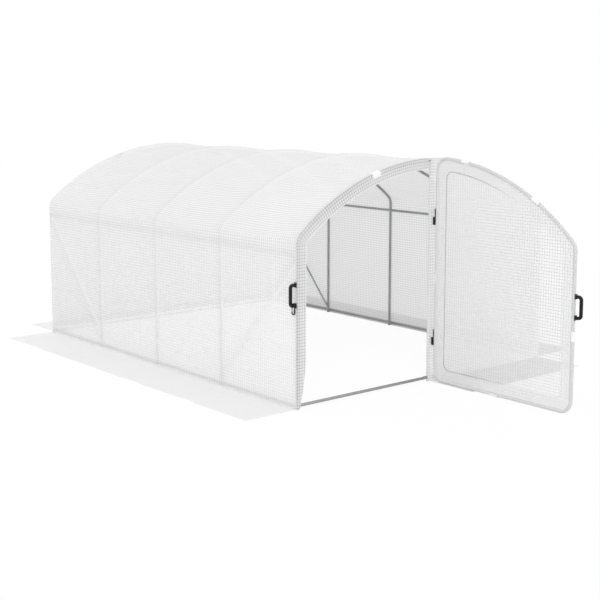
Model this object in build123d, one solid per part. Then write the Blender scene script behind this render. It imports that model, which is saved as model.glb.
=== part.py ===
from build123d import *
import os
from math import atan2, cos, degrees, pi, radians, sin, sqrt

# Walk-in polytunnel: tube hoops with rails, purlins and braces, a fabric cover with
# ground skirts, and one half-arch door leaf hinged on the centre post of the front.
# Millimetres. The origin is on the ground under the centre post of the front hoop,
# +X to the right, +Y to the back along the tunnel, +Z up. The leaf stands open, square
# to the front, as it is used when someone walks in.

# Frame sizes, between tube centre lines
tunnel_length = 4000.0
bay_count = 4
half_width = 1487.5
eave_height = 1373.0
ridge_height = 1932.5
eave_bend_radius = 110.0
purlin_height = 1252.0
rail_lift = 20.0

# Tubes, drawn with flat sides so that their ends and seats meet squarely
tube_sides = 8
tube_diameter = 25.0
rail_diameter = 25.0
purlin_diameter = 22.0
brace_diameter = 19.0

# Braces, with both ends pressed flat and bolted to the inside of the legs
brace_foot_height = 80.0
brace_drop = 45.0
brace_end_inset = 8.0
brace_tab_thickness = 4.0
brace_tab_length = 34.0
brace_tab_past_bolt = 10.0
brace_press_length = 34.0

# Cover
cover_thickness = 2.0
cover_sag = 25.0
sag_slope_share = 0.3
seat_gap = 0.3
skirt_width = 500.0
strip_width = 92.0
strip_taper_height = 470.0

# Door leaf
door_width = 1470.0
door_height = 1960.0
door_eave_drop = 620.0
door_corner_radius = 115.0
door_ground_gap = 7.0
door_tube_diameter = 25.0
door_hem_width = 118.0
door_hem_corner_radius = 60.0
door_hem_step = 1.5

# Hinges: where the pin stands, and the height where post half and door half meet
hinge_x = 24.0
hinge_y = -38.5
hinge_heights = {"hinge_lower": 392.0, "hinge_upper": 1443.0}
hinge_half_height = 70.0
hinge_knuckle_radius = 6.0
hinge_pin_radius = 3.0
hinge_pin_clearance = 0.1
hinge_plate_thickness = 3.0
hinge_plate_past_tube = 12.0
hinge_arm_width = 6.0
hinge_step_gap = 0.5

# Pull handles
handle_length = 205.0
handle_reach = 64.0
handle_bar_width = 22.0
handle_bar_depth = 18.0
handle_bar_chamfer = 4.0
handle_bend_radius = 24.0
handle_foot_length = 40.0
handle_foot_width = 26.0
handle_foot_thickness = 8.0
frame_handle_height = 925.0
door_handle_height = 865.0

# Snap hook hanging on the lower arm of the frame handle
hook_length = 92.0
hook_width = 40.0
hook_rod_diameter = 8.0
hook_gate_diameter = 4.0
hook_nut_diameter = 13.0
hook_nut_sides = 6
hook_rod_sides = 6
hook_nut_length = 18.0
hook_place = 24.0

# Tie tabs wrapped round the tubes
tab_length = 88.0
tab_thickness = 1.5
tab_flap = 26.0
tab_wrap_sides = 5
hoop_tab_place = 650.0
hinge_side_tab_height = 910.0
free_side_tab_height = 630.0
top_tab_places = (330.0, 1060.0)
bottom_tab_place = 685.0

# Worked out from the sizes above
tube_radius = tube_diameter / 2
leg_gap = tube_radius + seat_gap
bay_length = tunnel_length / bay_count
hoop_places = [bay * bay_length for bay in range(bay_count + 1)]
rear_y = tunnel_length
roof_rise = ridge_height - eave_height
roof_radius = (half_width**2 + roof_rise**2) / (2 * roof_rise)
roof_centre_z = ridge_height - roof_radius
bend_centre_x = half_width - eave_bend_radius
bend_centre_z = roof_centre_z + sqrt((roof_radius - eave_bend_radius) ** 2 - bend_centre_x**2)
bend_angle = 90 - degrees(atan2(bend_centre_x, bend_centre_z - roof_centre_z))
cover_inner = tube_radius + seat_gap
cover_outer = cover_inner + cover_thickness
beyond_cover = half_width + 2 * tube_diameter
above_cover = ridge_height + 2 * tube_diameter
drawing_normal = Vector(0, 0, 1)

os.makedirs("parts", exist_ok=True)


def write(shape, name):
    export_step(shape, os.path.join("parts", name + ".step"))


# Cross section of a tube, a flat-sided round of the given size across the flats, with flats
# to the left and right of the way along
def round_section(diameter, sides=tube_sides):
    return RegularPolygon(diameter / 2, sides, major_radius=False, rotation=90 + 180 / sides)


# A straight tube between two points, closed at its ends
def bar(start, end, diameter):
    axis = Vector(*end) - Vector(*start)
    across = Vector(1, 0, 0) if abs(axis.X) < abs(axis.Y) + abs(axis.Z) else Vector(0, 1, 0)
    plane = Plane(origin=start, x_dir=across, z_dir=axis)
    return extrude(plane * round_section(diameter), amount=axis.length)


# Follows lines and arcs of the X-Y plane with a section. The section's X axis points out
# of the plane, and its Y axis to the right of the way along the line.
def follow(edges, section):
    run = None
    for edge in edges:
        start = Plane(origin=edge @ 0, x_dir=drawing_normal, z_dir=edge % 0)
        if edge.geom_type == GeomType.LINE:
            piece = extrude(start * section, amount=edge.length)
        else:
            turn = (edge @ 0 - edge.arc_center).cross(edge % 0)
            angle = degrees(edge.length / edge.radius)
            piece = revolve(start * section, Axis(edge.arc_center, turn), revolution_arc=angle)
        run = piece if run is None else run + piece
    return run


# Drawings of a hoop or an end are made as (x, height) and stood up at a place along the tunnel
def standing(y):
    return Plane.XZ.offset(-y)


def stand(drawing, y_low, y_high):
    return extrude(standing(y_low) * drawing, amount=y_low - y_high)


def rectangle(x_low, x_high, z_low, z_high):
    centre = ((x_low + x_high) / 2, (z_low + z_high) / 2)
    return Pos(*centre) * Rectangle(x_high - x_low, z_high - z_low)


def block(x_low, x_high, y_low, y_high, z_low, z_high):
    centre = ((x_low + x_high) / 2, (y_low + y_high) / 2, (z_low + z_high) / 2)
    return Pos(*centre) * Box(x_high - x_low, y_high - y_low, z_high - z_low)


def upright(x, y, radius, z_low, z_high):
    return Pos(x, y, z_low) * extrude(Circle(radius), amount=z_high - z_low)


# The hoop's centre line grown outwards by a given amount: leg, bend, roof, bend, leg
def arch_edges(grow):
    leg_x = half_width + grow
    bend = eave_bend_radius + grow
    return [
        Line((leg_x, 0), (leg_x, bend_centre_z)),
        CenterArc((bend_centre_x, bend_centre_z), bend, 0, bend_angle),
        CenterArc((0, roof_centre_z), roof_radius + grow, bend_angle, 180 - 2 * bend_angle),
        CenterArc((-bend_centre_x, bend_centre_z), bend, 180 - bend_angle, bend_angle),
        Line((-leg_x, bend_centre_z), (-leg_x, 0)),
    ]


# The whole end area inside the grown centre line
def arch_face(grow):
    leg_x = half_width + grow
    return make_face(Curve() + arch_edges(grow) + [Line((-leg_x, 0), (leg_x, 0))])


# Hoops
hoop = follow(arch_edges(0), round_section(tube_diameter))
hoop_names = ["hoop_front"]
hoop_names += ["hoop_inner_" + str(number) for number in range(1, bay_count)]
hoop_names += ["hoop_rear"]
for name, y in zip(hoop_names, hoop_places):
    write(standing(y) * hoop, name)


# Braces: a tube in the middle, pressed flat against the leg at both ends
def pressed_section(thickness, width, shift):
    corners = []
    for number in range(tube_sides):
        angle = 2 * pi * (number + 0.5) / tube_sides
        corner = (shift + cos(angle) * thickness / 2, sin(angle) * width / 2)
        corners.append(corner)
    return make_face(Polyline(*corners, close=True))


def brace(foot, top, outwards):
    axis = Vector(*top) - Vector(*foot)
    across_corners = brace_diameter / cos(pi / tube_sides)
    whole = pressed_section(across_corners, across_corners, 0)
    flat_thickness = brace_tab_thickness / cos(pi / tube_sides)
    flat_width = pi * brace_diameter / 2
    flat = pressed_section(flat_thickness, flat_width, (brace_diameter - brace_tab_thickness) / 2)
    tab_end = brace_tab_length - brace_tab_past_bolt
    tube_start = tab_end + brace_press_length
    ends = []
    for origin, direction in ((Vector(*foot), axis), (Vector(*top), -axis)):
        base = Plane(origin=origin, x_dir=(outwards, 0, 0), z_dir=direction)
        tab = extrude(base.offset(-brace_tab_past_bolt) * flat, amount=brace_tab_length)
        press = loft([base.offset(tab_end) * flat, base.offset(tube_start) * whole], ruled=True)
        ends.append(tab + press)
    base = Plane(origin=foot, x_dir=(outwards, 0, 0), z_dir=axis)
    middle = extrude(base.offset(tube_start) * whole, amount=axis.length - 2 * tube_start)
    return middle + ends[0] + ends[1]


# Straight tubes of each side: one rail and one purlin length in every bay, and two braces
rail_z = rail_lift + rail_diameter / 2
for side, sign in (("left", -1), ("right", 1)):
    for name, diameter, height in (
        ("base_rail_" + side, rail_diameter, rail_z),
        ("purlin_" + side, purlin_diameter, purlin_height),
    ):
        lengths = []
        for y in hoop_places[:-1]:
            start = (sign * half_width, y + leg_gap, height)
            end = (sign * half_width, y + bay_length - leg_gap, height)
            lengths.append(bar(start, end, diameter))
        write(Compound(children=lengths), name)

    brace_x = sign * (half_width - leg_gap - brace_diameter / 2)
    for name, foot_y, top_y in (
        ("brace_front_" + side, bay_length, brace_end_inset),
        ("brace_rear_" + side, rear_y - bay_length, rear_y - brace_end_inset),
    ):
        foot = (brace_x, foot_y, brace_foot_height)
        top = (brace_x, top_y, purlin_height - brace_drop)
        write(brace(foot, top, sign), name)

# Rails low across both ends, and the centre post
rail_reach = half_width - leg_gap
for name, x_low, x_high, y in (
    ("base_rail_doorway", -rail_reach, -leg_gap, 0),
    ("base_rail_front", leg_gap, rail_reach, 0),
    ("base_rail_rear", -rail_reach, rail_reach, rear_y),
):
    write(bar((x_low, y, rail_z), (x_high, y, rail_z), rail_diameter), name)
write(bar((0, 0, 0), (0, 0, ridge_height - leg_gap), tube_diameter), "centre_post")

# Upright walls of the cover
for side, sign in (("left", -1), ("right", 1)):
    near = sign * (half_width + cover_inner)
    far = sign * (half_width + cover_outer)
    drawing = rectangle(min(near, far), max(near, far), 0, bend_centre_z)
    write(stand(drawing, -cover_outer, rear_y + cover_outer), "cover_wall_" + side)


# Right half of the roof's cut, from the eave bend to the ridge, let down at the ridge
turn_cos = cos(radians(bend_angle))
turn_sin = sin(radians(bend_angle))


def roof_arc(grow, sag):
    turn_x = (roof_radius + grow) * turn_cos
    turn_z = roof_centre_z + (roof_radius + grow) * turn_sin
    drop = ridge_height + grow - sag - turn_z
    radius = (turn_x**2 + drop**2) / (2 * drop)
    centre_z = turn_z + drop - radius
    start = degrees(atan2(turn_z - centre_z, turn_x))
    return CenterArc((0, centre_z), radius, start, 90 - start)


def roof_half(sag):
    outer = roof_arc(cover_outer, sag)
    inner = roof_arc(cover_inner, sag)
    return make_face(Curve() + [outer, inner, Line(outer @ 0, inner @ 0), Line(outer @ 1, inner @ 1)])


# Roof of the cover: it lies on each hoop and sags in between, most at the ridge
bend_ring = Circle(eave_bend_radius + cover_outer) - Circle(eave_bend_radius + cover_inner)
bend_wedge = make_face(
    Polyline(
        (0, 0),
        (2 * eave_bend_radius, 0),
        (2 * eave_bend_radius, 3 * eave_bend_radius * turn_sin),
        (3 * eave_bend_radius * turn_cos, 3 * eave_bend_radius * turn_sin),
        close=True,
    )
)
bend_drawing = Pos(bend_centre_x, bend_centre_z) * (bend_ring & bend_wedge)
roof = stand(bend_drawing, -cover_outer, rear_y + cover_outer)
bands = [(y - tube_radius, y + tube_radius) for y in hoop_places]
bands[0] = (-cover_outer, tube_radius)
bands[-1] = (rear_y - tube_radius, rear_y + cover_outer)
for band in bands:
    roof += stand(roof_half(0), *band)
for before, after in zip(bands, bands[1:]):
    slope = sag_slope_share * (after[0] - before[1])
    low_start = before[1] + slope
    low_end = after[0] - slope
    roof += stand(roof_half(cover_sag), low_start, low_end)
    for high_y, low_y in ((before[1], low_start), (after[0], low_end)):
        high_cut = standing(high_y) * roof_half(0)
        low_cut = standing(low_y) * roof_half(cover_sag)
        roof += loft([high_cut, low_cut], ruled=True)
write(roof, "cover_roof_right")
write(mirror(roof, Plane.YZ), "cover_roof_left")

# End sheets, which lie flat on the end hoops inside the cover's edge
end_face = arch_face(tube_radius)
write(stand(end_face, rear_y + cover_inner, rear_y + cover_outer), "cover_rear")
right_half = end_face & rectangle(-tube_radius, beyond_cover, 0, above_cover)
write(stand(right_half, -cover_outer, -cover_inner), "cover_front_right")

# Sewn strip round the doorway, which narrows in a long curve to nothing at its foot
leg_inside = half_width - tube_radius
strip_edge = half_width + tube_radius - strip_width
taper_depth = leg_inside - strip_edge
taper_radius = (strip_taper_height**2 + taper_depth**2) / (2 * taper_depth)
taper_turn = degrees(atan2(strip_taper_height, taper_radius - taper_depth))
taper_centre = (-strip_edge - taper_radius, strip_taper_height)
taper = make_face(
    Curve()
    + [
        CenterArc(taper_centre, taper_radius, 0, -taper_turn),
        Line((-leg_inside, 0), (-strip_edge, 0)),
        Line((-strip_edge, 0), (-strip_edge, strip_taper_height)),
    ]
)
left_half = end_face & rectangle(-beyond_cover, -leg_gap, 0, above_cover)
strip = left_half - arch_face(tube_radius - strip_width) - taper
write(stand(strip, -cover_outer, -cover_inner), "doorway_strip")

# Ground skirts outside the cover, cut square at their ends
skirt_start = half_width + cover_outer + seat_gap
end_skirt_start = cover_outer + seat_gap
for name, x_low, x_high, y_low, y_high in (
    ("skirt_left", -skirt_start - skirt_width, -skirt_start, 0, rear_y),
    ("skirt_right", skirt_start, skirt_start + skirt_width, 0, rear_y),
    ("skirt_rear", -half_width, half_width, rear_y + end_skirt_start,
     rear_y + end_skirt_start + skirt_width),
    ("skirt_front_right", 0, half_width, -end_skirt_start - skirt_width, -end_skirt_start),
):
    write(block(x_low, x_high, y_low, y_high, 0, cover_thickness), name)

# Door leaf, drawn as (distance from its hinge side, height)
sleeve_bore = door_tube_diameter / 2 + seat_gap
leaf_sleeve = sleeve_bore + cover_thickness
door_radius = (door_width**2 + door_eave_drop**2) / (2 * door_eave_drop)
door_arc_centre_z = door_ground_gap + door_height - door_radius


# The leaf's outline moved inwards, run clockwise so that the inside is on the right
def leaf_outline(inset, corner_radius):
    low = door_ground_gap + inset
    near = inset
    far = door_width - inset
    middle = (near + far) / 2
    arc = door_radius - inset
    top = [(place, door_arc_centre_z + sqrt(arc**2 - place**2)) for place in (near, middle, far)]
    outline = Wire(
        [
            Line((near, low), top[0]),
            ThreePointArc(*top),
            Line(top[2], (far, low)),
            Line((far, low), (near, low)),
        ]
    )
    return outline.fillet_2d(corner_radius, outline.vertices())


# The open leaf's drawing plane, moved sideways from its middle
leaf_edge_y = hinge_y - hinge_x + leaf_sleeve


def leaf_plane(across=0.0):
    return Plane(origin=(hinge_x + across, leaf_edge_y, 0), x_dir=(0, -1, 0), z_dir=(-1, 0, 0))


def leaf_slab(face, thickness):
    return leaf_plane(thickness / 2) * extrude(face, amount=thickness)


# Tube loop, and the cover: a sleeve round the tube, a sheet inside it and a doubled hem
loop = leaf_outline(leaf_sleeve, door_corner_radius - leaf_sleeve).edges()
write(leaf_plane() * follow(loop, round_section(door_tube_diameter)), "door_frame")
sleeve_section = round_section(2 * leaf_sleeve) - round_section(2 * sleeve_bore)
sleeve = leaf_plane() * follow(loop, sleeve_section)
sheet_inset = leaf_sleeve + sleeve_bore + cover_thickness / 2
sheet_face = make_face(leaf_outline(sheet_inset, door_corner_radius - sheet_inset))
hem_face = sheet_face - make_face(leaf_outline(door_hem_width, door_hem_corner_radius))
sheet = leaf_slab(sheet_face, cover_thickness)
hem = leaf_slab(hem_face, cover_thickness + 2 * door_hem_step)
write(sleeve + sheet + hem, "door_cover")

# Hinges: a bracket with a pin on the post, and a bracket with an eye on the leaf above it
arm_half = hinge_arm_width / 2
post_plate_back = -cover_outer - seat_gap
post_plate_front = post_plate_back - hinge_plate_thickness
door_plate_near = hinge_x + leaf_sleeve + seat_gap
door_plate_far = door_plate_near + hinge_plate_thickness
door_plate_end = hinge_y - hinge_x - hinge_plate_past_tube
eye_bore = hinge_pin_radius + hinge_pin_clearance
for name, height in hinge_heights.items():
    low = height - hinge_half_height
    split = height - hinge_step_gap
    high = height + hinge_half_height
    arm_right = hinge_x + arm_half
    plate = block(-hinge_plate_past_tube, arm_right, post_plate_front, post_plate_back, low, split)
    arm = block(hinge_x - arm_half, arm_right, hinge_y, post_plate_front, low, split)
    knuckle = upright(hinge_x, hinge_y, hinge_knuckle_radius, low, split)
    pin = upright(hinge_x, hinge_y, hinge_pin_radius, low, high)
    write(plate + arm + knuckle + pin, name + "_post_half")

    arm_front = hinge_y + arm_half
    plate = block(door_plate_near, door_plate_far, door_plate_end, arm_front, height, high)
    arm = block(hinge_x, door_plate_near, hinge_y - arm_half, arm_front, height, high)
    eye = upright(hinge_x, hinge_y, hinge_knuckle_radius, height, high)
    bore = upright(hinge_x, hinge_y, eye_bore, height, high)
    write(plate + arm + eye - bore, name + "_door_half")

# Pull handle, drawn as (reach, height) about its middle: a bent bar between two feet
arm_height = (handle_length - handle_foot_length) / 2
grip_x = handle_reach - handle_bar_width / 2
arms_and_grip = FilletPolyline(
    (0, arm_height),
    (grip_x, arm_height),
    (grip_x, -arm_height),
    (0, -arm_height),
    radius=handle_bend_radius,
)
bar_section = Rectangle(handle_bar_depth, handle_bar_width)
bar_section = chamfer(bar_section.vertices(), handle_bar_chamfer)
handle = follow(arms_and_grip.edges(), bar_section)
for end in (arm_height, -arm_height):
    foot = Box(handle_foot_thickness, handle_foot_length, handle_foot_width)
    handle += Pos(handle_foot_thickness / 2, end, 0) * foot
frame_handle_x = -half_width - cover_outer - seat_gap
frame_side = Plane(origin=(frame_handle_x, 0, frame_handle_height), x_dir=(-1, 0, 0), z_dir=(0, 1, 0))
write(frame_side * handle, "handle_frame")
door_handle_y = leaf_edge_y - door_width - seat_gap
door_side = Plane(origin=(hinge_x, door_handle_y, door_handle_height), x_dir=(0, -1, 0), z_dir=(-1, 0, 0))
write(door_side * handle, "handle_door")

# Snap hook, drawn as (sideways, height) about the middle of its top bend
hook_bend = (hook_width - hook_rod_diameter) / 2
hook_straight = hook_length - hook_width
hook_room = hook_bend - hook_rod_diameter / 2 - seat_gap
arm_top_half = handle_bar_depth / 2 - handle_bar_chamfer
hook_drop = sqrt(hook_room**2 - arm_top_half**2)
hook_top_z = frame_handle_height - arm_height + handle_bar_width / 2 - hook_drop
rod_edges = [
    CenterArc((0, 0), hook_bend, 0, 180),
    Line((-hook_bend, 0), (-hook_bend, -hook_straight)),
    CenterArc((0, -hook_straight), hook_bend, 180, 180),
]
gate_edges = [Line((hook_bend, 0), (hook_bend, -hook_straight))]
nut_edges = [Line((-hook_bend, hook_nut_length - hook_straight), (-hook_bend, -hook_straight))]
hook = follow(rod_edges, round_section(hook_rod_diameter, hook_rod_sides))
hook += follow(gate_edges, round_section(hook_gate_diameter, hook_rod_sides))
hook += follow(nut_edges, round_section(hook_nut_diameter, hook_nut_sides))
hook_x = frame_handle_x - hook_place
hook_plane = Plane(origin=(hook_x, 0, hook_top_z), x_dir=(0, 1, 0), z_dir=(1, 0, 0))
write(hook_plane * hook, "snap_hook")

# Tie tabs of the leaf: a band round the outer side of the sleeve at each place
band_inner = (leaf_sleeve + seat_gap) / cos(pi / tube_sides)
band_outer = band_inner + tab_thickness
band_angles = [
    radians(360 * (number - tab_wrap_sides / 2) / tube_sides - 90) for number in range(tab_wrap_sides + 1)
]
outer_corners = [(band_outer * cos(angle), band_outer * sin(angle)) for angle in band_angles]
inner_corners = [(band_inner * cos(angle), band_inner * sin(angle)) for angle in band_angles]
door_tab_section = make_face(Polyline(*outer_corners, *reversed(inner_corners), close=True))
tab_half = tab_length / 2
near_side = leaf_sleeve
far_side = door_width - leaf_sleeve
low_side = door_ground_gap + leaf_sleeve
loop_radius = door_radius - leaf_sleeve
tab_edges = [
    Line((near_side, hinge_side_tab_height - tab_half), (near_side, hinge_side_tab_height + tab_half)),
    Line((far_side, free_side_tab_height + tab_half), (far_side, free_side_tab_height - tab_half)),
    Line((bottom_tab_place + tab_half, low_side), (bottom_tab_place - tab_half, low_side)),
]
for place in top_tab_places:
    middle = degrees(atan2(sqrt(loop_radius**2 - place**2), place))
    spread = degrees(tab_length / loop_radius)
    tab_edges.append(CenterArc((0, door_arc_centre_z), loop_radius, middle + spread / 2, -spread))
door_tabs = [leaf_plane() * follow([edge], door_tab_section) for edge in tab_edges]
write(Compound(children=door_tabs), "tie_tabs_door")

# Tie tabs of the end hoops: over the roof's edge and down the end sheet
fold = cover_outer + seat_gap
outside = fold + tab_thickness
hoop_tab_section = make_face(
    Polyline(
        (-tab_flap, -outside),
        (outside, -outside),
        (outside, tab_flap),
        (fold, tab_flap),
        (fold, -fold),
        (-tab_flap, -fold),
        close=True,
    )
)
hoop_tab_spread = degrees(tab_length / roof_radius)
front_tabs = []
for place in (-hoop_tab_place, hoop_tab_place):
    middle = degrees(atan2(sqrt(roof_radius**2 - place**2), place))
    arc = CenterArc((0, roof_centre_z), roof_radius, middle + hoop_tab_spread / 2, -hoop_tab_spread)
    front_tabs.append(standing(0) * follow([arc], hoop_tab_section))
rear_tabs = [Pos(0, rear_y, 0) * mirror(tab, Plane.XZ) for tab in front_tabs]
write(Compound(children=front_tabs), "tie_tabs_front")
write(Compound(children=rear_tabs), "tie_tabs_rear")
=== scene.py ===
import math
import bmesh
import bpy
import numpy as np
from mathutils import Matrix, Vector


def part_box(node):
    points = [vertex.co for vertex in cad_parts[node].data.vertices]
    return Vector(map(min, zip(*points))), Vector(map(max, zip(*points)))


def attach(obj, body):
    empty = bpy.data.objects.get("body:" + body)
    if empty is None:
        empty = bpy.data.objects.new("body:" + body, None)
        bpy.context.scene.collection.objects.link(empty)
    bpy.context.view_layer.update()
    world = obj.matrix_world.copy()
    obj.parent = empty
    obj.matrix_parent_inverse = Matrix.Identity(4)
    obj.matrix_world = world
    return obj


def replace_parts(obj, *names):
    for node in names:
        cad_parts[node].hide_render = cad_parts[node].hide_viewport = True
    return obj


# Walk-in polytunnel with a half-arch door leaf: its fabric, tubes, fittings and setting. Metres.
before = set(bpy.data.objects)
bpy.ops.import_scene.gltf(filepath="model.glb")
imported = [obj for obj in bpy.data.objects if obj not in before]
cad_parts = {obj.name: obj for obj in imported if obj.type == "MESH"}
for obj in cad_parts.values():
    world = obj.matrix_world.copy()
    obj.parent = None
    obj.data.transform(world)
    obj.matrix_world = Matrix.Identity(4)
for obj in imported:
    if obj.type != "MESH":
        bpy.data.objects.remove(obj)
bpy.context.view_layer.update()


# Middle height of a node's box, and half its height
def levelOf(node):
    low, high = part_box(node)
    return (low.z + high.z) / 2, (high.z - low.z) / 2


# Sizes read from the frame, and the few that its boxes can't tell
tubeRadius = 0.0125
seat = tubeRadius + 0.0003  # from a tube's centre line to the end of one that meets it
offset = 0.0138  # from tube centre line to the middle of the fabric
rearLow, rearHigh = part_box("hoop_rear")
tunnel = {
    "halfWidth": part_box("hoop_front")[1].x - tubeRadius,
    "ridge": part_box("centre_post")[1].z + seat,
    "length": (rearLow.y + rearHigh.y) / 2,
    "bays": 4,
    "eave": 1.373,
    "bendRadius": 0.110,
}
bayLength = tunnel["length"] / tunnel["bays"]
hoopPlaces = [bayLength * number for number in range(tunnel["bays"] + 1)]
rise = tunnel["ridge"] - tunnel["eave"]
roofRadius = (tunnel["halfWidth"] ** 2 + rise**2) / (2 * rise)
roofCentre = tunnel["ridge"] - roofRadius
bendX = tunnel["halfWidth"] - tunnel["bendRadius"]
bendZ = roofCentre + math.sqrt((roofRadius - tunnel["bendRadius"]) ** 2 - bendX**2)
bendTurn = math.atan2(bendZ - roofCentre, bendX)
purlinHeight, purlinRadius = levelOf("purlin_left")
railHeight = levelOf("base_rail_left")[0]
noise = np.random.default_rng(11)


# Shader nodes

def addNode(tree, kind, **values):
    node = tree.nodes.new("ShaderNode" + kind)
    for key, value in values.items():
        setattr(node, key, value)
    return node


def feed(tree, socket, value):
    if isinstance(value, bpy.types.NodeSocket):
        tree.links.new(value, socket)
    else:
        socket.default_value = value


def calc(tree, operation, a, b=0.0, clamp=False):
    node = addNode(tree, "Math", operation=operation, use_clamp=clamp)
    feed(tree, node.inputs[0], a)
    feed(tree, node.inputs[1], b)
    return node.outputs[0]


def ramp(tree, value, low, high, toLow=0.0, toHigh=1.0, smooth=True):
    node = addNode(tree, "MapRange", interpolation_type="SMOOTHSTEP" if smooth else "LINEAR")
    for socket, item in zip(node.inputs, (value, low, high, toLow, toHigh)):
        feed(tree, socket, item)
    return node.outputs[0]


def blendColour(tree, amount, a, b):
    node = addNode(tree, "Mix", data_type="RGBA")
    feed(tree, node.inputs[0], amount)
    feed(tree, node.inputs[6], a)
    feed(tree, node.inputs[7], b)
    return node.outputs[2]


def newGroup(name, inputs, outputs):
    tree = bpy.data.node_groups.new(name, "ShaderNodeTree")
    for label, kind, value in inputs:
        socket = tree.interface.new_socket(name=label, in_out="INPUT", socket_type="NodeSocket" + kind)
        if value is not None:
            socket.default_value = value
    for label, kind in outputs:
        tree.interface.new_socket(name=label, in_out="OUTPUT", socket_type="NodeSocket" + kind)
    return tree, tree.nodes.new("NodeGroupInput").outputs, tree.nodes.new("NodeGroupOutput").inputs


def useGroup(tree, group, **values):
    node = addNode(tree, "Group", node_tree=group)
    for key, value in values.items():
        feed(tree, node.inputs[key.replace("_", " ")], value)
    return node.outputs


# A square net of threads in a sheet: Threads is 1 on a thread, Height its raised profile
def makeNetGroup():
    tree, given, result = newGroup(
        "threadNet",
        [("Vector", "Vector", None), ("Pitch", "Float", 0.025), ("Thread", "Float", 0.005),
         ("Softness", "Float", 0.0012), ("Waver", "Float", 0.0012)],
        [("Threads", "Float"), ("Crossings", "Float"), ("Height", "Float")],
    )
    waver = addNode(tree, "TexNoise")
    feed(tree, waver.inputs["Vector"], given["Vector"])
    waver.inputs["Scale"].default_value = 3.0
    shift = addNode(tree, "VectorMath", operation="MULTIPLY_ADD")
    tree.links.new(waver.outputs["Color"], shift.inputs[0])
    spread = addNode(tree, "CombineXYZ")
    for socket in spread.inputs:
        tree.links.new(given["Waver"], socket)
    tree.links.new(spread.outputs[0], shift.inputs[1])
    tree.links.new(given["Vector"], shift.inputs[2])
    parts = addNode(tree, "SeparateXYZ")
    tree.links.new(shift.outputs[0], parts.inputs[0])
    half = calc(tree, "MULTIPLY", given["Thread"], 0.5)
    outer = calc(tree, "ADD", half, given["Softness"])
    inner = calc(tree, "SUBTRACT", half, given["Softness"])
    lines = []
    for place in parts.outputs[:2]:
        cell = calc(tree, "FRACT", calc(tree, "DIVIDE", place, given["Pitch"]))
        away = calc(tree, "ABSOLUTE", calc(tree, "SUBTRACT", cell, 0.5))
        lines.append(ramp(tree, calc(tree, "MULTIPLY", away, given["Pitch"]), outer, inner))
    tree.links.new(calc(tree, "MAXIMUM", *lines), result["Threads"])
    tree.links.new(calc(tree, "MULTIPLY", *lines), result["Crossings"])
    tree.links.new(calc(tree, "ADD", *lines), result["Height"])
    return tree


# Soft cloudy unevenness with fine grit on top
def makeMottleGroup():
    tree, given, result = newGroup(
        "mottle",
        [("Vector", "Vector", None), ("Cloud Scale", "Float", 1.5), ("Grit Scale", "Float", 120.0)],
        [("Cloud", "Float"), ("Grit", "Float"), ("Height", "Float")],
    )
    values = []
    for label, detail in (("Cloud Scale", 4.0), ("Grit Scale", 6.0)):
        texture = addNode(tree, "TexNoise")
        feed(tree, texture.inputs["Vector"], given["Vector"])
        feed(tree, texture.inputs["Scale"], given[label])
        texture.inputs["Detail"].default_value = detail
        values.append(ramp(tree, texture.outputs[0], 0.32, 0.68))
    tree.links.new(values[0], result["Cloud"])
    tree.links.new(values[1], result["Grit"])
    tree.links.new(calc(tree, "MULTIPLY_ADD", values[1], 0.25), result["Height"])
    return tree


# Zinc spangle with drawn streaks along the tube
def makeZincGroup():
    tree, given, result = newGroup(
        "zincGrain",
        [("Vector", "Vector", None), ("Spangle Scale", "Float", 160.0), ("Streak Scale", "Float", 600.0)],
        [("Tone", "Float"), ("Streaks", "Float"), ("Height", "Float")],
    )
    cells = addNode(tree, "TexVoronoi")
    feed(tree, cells.inputs["Vector"], given["Vector"])
    feed(tree, cells.inputs["Scale"], given["Spangle Scale"])
    stretch = addNode(tree, "VectorMath", operation="MULTIPLY")
    feed(tree, stretch.inputs[0], given["Vector"])
    stretch.inputs[1].default_value = (0.05, 1.0, 1.0)
    streaks = addNode(tree, "TexNoise")
    tree.links.new(stretch.outputs[0], streaks.inputs["Vector"])
    feed(tree, streaks.inputs["Scale"], given["Streak Scale"])
    shades = addNode(tree, "SeparateColor")
    tree.links.new(cells.outputs["Color"], shades.inputs[0])
    tree.links.new(shades.outputs[0], result["Tone"])
    tree.links.new(streaks.outputs[0], result["Streaks"])
    tree.links.new(calc(tree, "ADD", calc(tree, "MULTIPLY", shades.outputs[0], 0.3), streaks.outputs[0]),
                   result["Height"])
    return tree


# Where an edge is rubbed: 1 on the worn spots
def makeWearGroup():
    tree, given, result = newGroup(
        "rubbedEdges",
        [("Vector", "Vector", None), ("Spread", "Float", 0.06), ("Patch Scale", "Float", 90.0)],
        [("Wear", "Float")],
    )
    shape = addNode(tree, "NewGeometry")
    high = calc(tree, "ADD", 0.5, given["Spread"])
    edges = ramp(tree, shape.outputs["Pointiness"], 0.505, high)
    patches = addNode(tree, "TexNoise")
    feed(tree, patches.inputs["Vector"], given["Vector"])
    feed(tree, patches.inputs["Scale"], given["Patch Scale"])
    tree.links.new(calc(tree, "MULTIPLY", edges, ramp(tree, patches.outputs[0], 0.42, 0.62)), result["Wear"])
    return tree


netGroup = makeNetGroup()
mottleGroup = makeMottleGroup()
zincGroup = makeZincGroup()
wearGroup = makeWearGroup()


def startMaterial(name, coordinates="UV"):
    material = bpy.data.materials.new(name)
    material.use_nodes = True
    tree = material.node_tree
    shader = tree.nodes["Principled BSDF"]
    place = addNode(tree, "TexCoord").outputs[coordinates]
    return material, tree, shader, place


def bump(tree, shader, height, strength, distance):
    node = addNode(tree, "Bump")
    node.inputs["Strength"].default_value = strength
    node.inputs["Distance"].default_value = distance
    tree.links.new(height, node.inputs["Height"])
    tree.links.new(node.outputs[0], shader.inputs["Normal"])


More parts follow.
